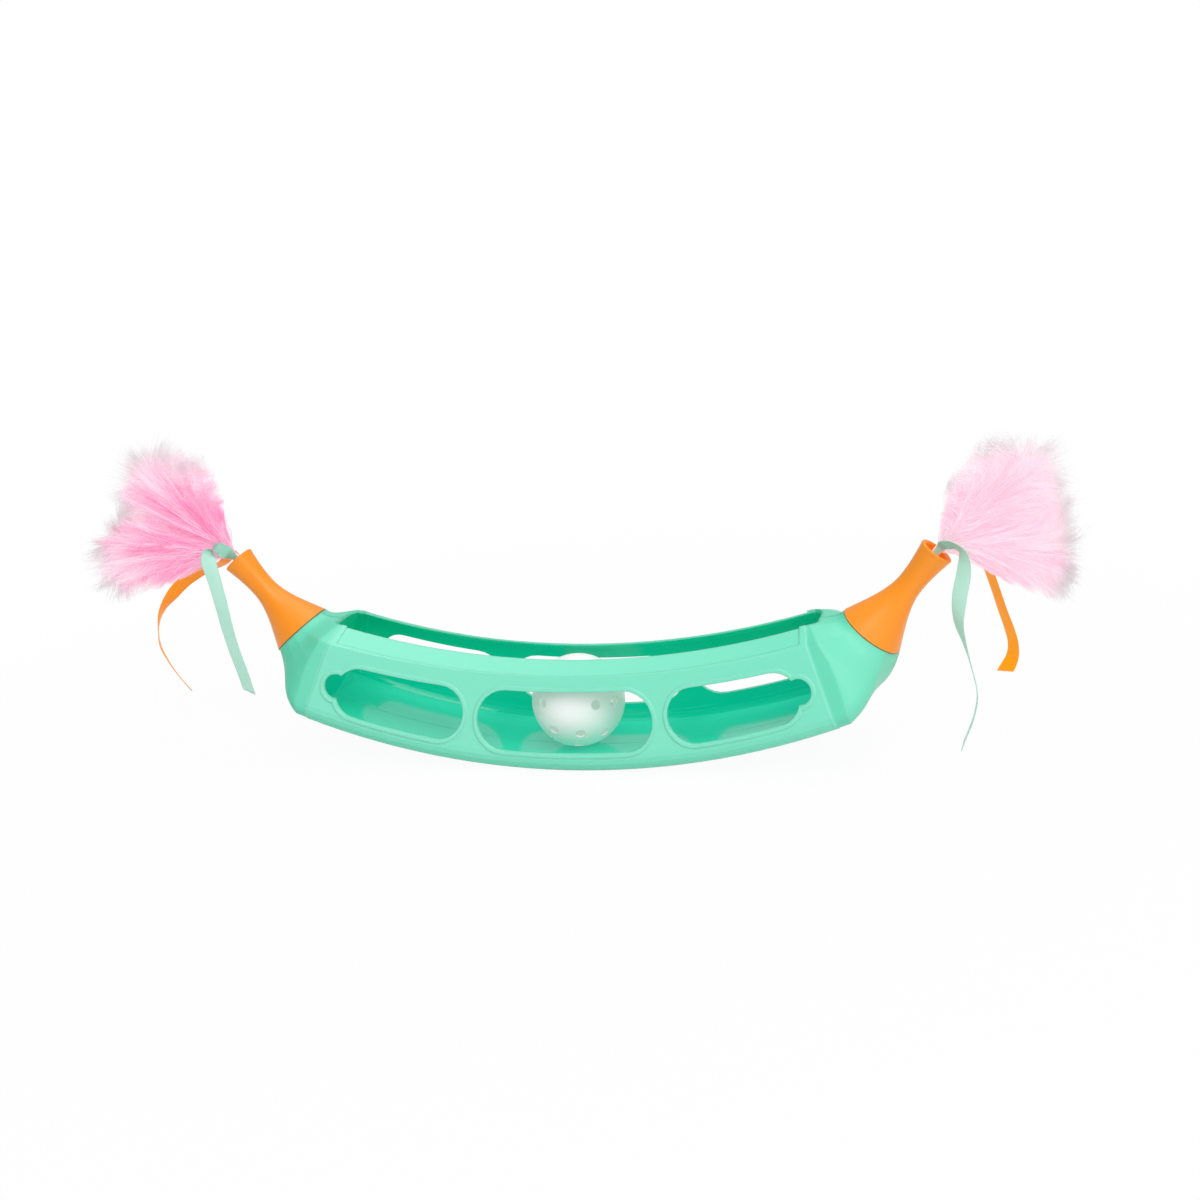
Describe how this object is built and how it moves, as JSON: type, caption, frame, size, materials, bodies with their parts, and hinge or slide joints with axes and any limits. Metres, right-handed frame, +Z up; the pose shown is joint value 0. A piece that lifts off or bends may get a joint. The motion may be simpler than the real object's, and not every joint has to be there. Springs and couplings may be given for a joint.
{
  "type": "cat ball track toy",
  "caption": "Curved rocking ball track for a cat: two mint half shells with windows and a top slot, a drilled white ball inside, orange end caps with pink plumes and ribbons.",
  "frame": {"origin": "middle of the small flat foot under the belly, on the floor", "axes": "+X along the track towards the right end, +Y to the back, +Z up; the pictured side faces -Y"},
  "size_m": [0.4314, 0.0632, 0.1411],
  "materials": {
    "mint_plastic": "moulded, satin gloss",
    "orange_plastic": "moulded, satin gloss",
    "white_plastic": "translucent white, satin",
    "pink_thread": "wound thread",
    "pink_feather": "marabou down",
    "mint_satin": "satin",
    "orange_satin": "satin"
  },
  "bodies": {
    "track": {"front_shell": "mint_plastic", "back_shell": "mint_plastic", "left_cap": "orange_plastic", "right_cap": "orange_plastic"},
    "ball": {"ball_front_half": "white_plastic", "ball_back_half": "white_plastic"},
    "left_bundle": {"left_knot": "pink_thread", "left_upper_plume": "pink_feather", "left_lower_plume": "pink_feather", "left_mint_ribbon": "mint_satin", "left_orange_ribbon": "orange_satin"},
    "right_bundle": {"right_knot": "pink_thread", "right_upper_plume": "pink_feather", "right_lower_plume": "pink_feather", "right_mint_ribbon": "mint_satin", "right_orange_ribbon": "orange_satin"}
  },
  "joints": [
    {"name": "ball_roll", "type": "hinge", "parent": "track", "child": "ball", "pos_m": [0, 0, 0.3257], "axis": [0, 1, 0], "range_deg": [-18.5, 18.5]},
    {"name": "left_bundle_sway", "type": "hinge", "parent": "track", "child": "left_bundle", "pos_m": [-0.13756, 0, 0.06707], "axis": [0.7793, 0, 0.6266], "range_deg": [-6, 6], "stiffness_Nm_per_rad": 0.3},
    {"name": "right_bundle_sway", "type": "hinge", "parent": "track", "child": "right_bundle", "pos_m": [0.13756, 0, 0.06707], "axis": [-0.7793, 0, 0.6266], "range_deg": [-6, 6], "stiffness_Nm_per_rad": 0.3}
  ]
}
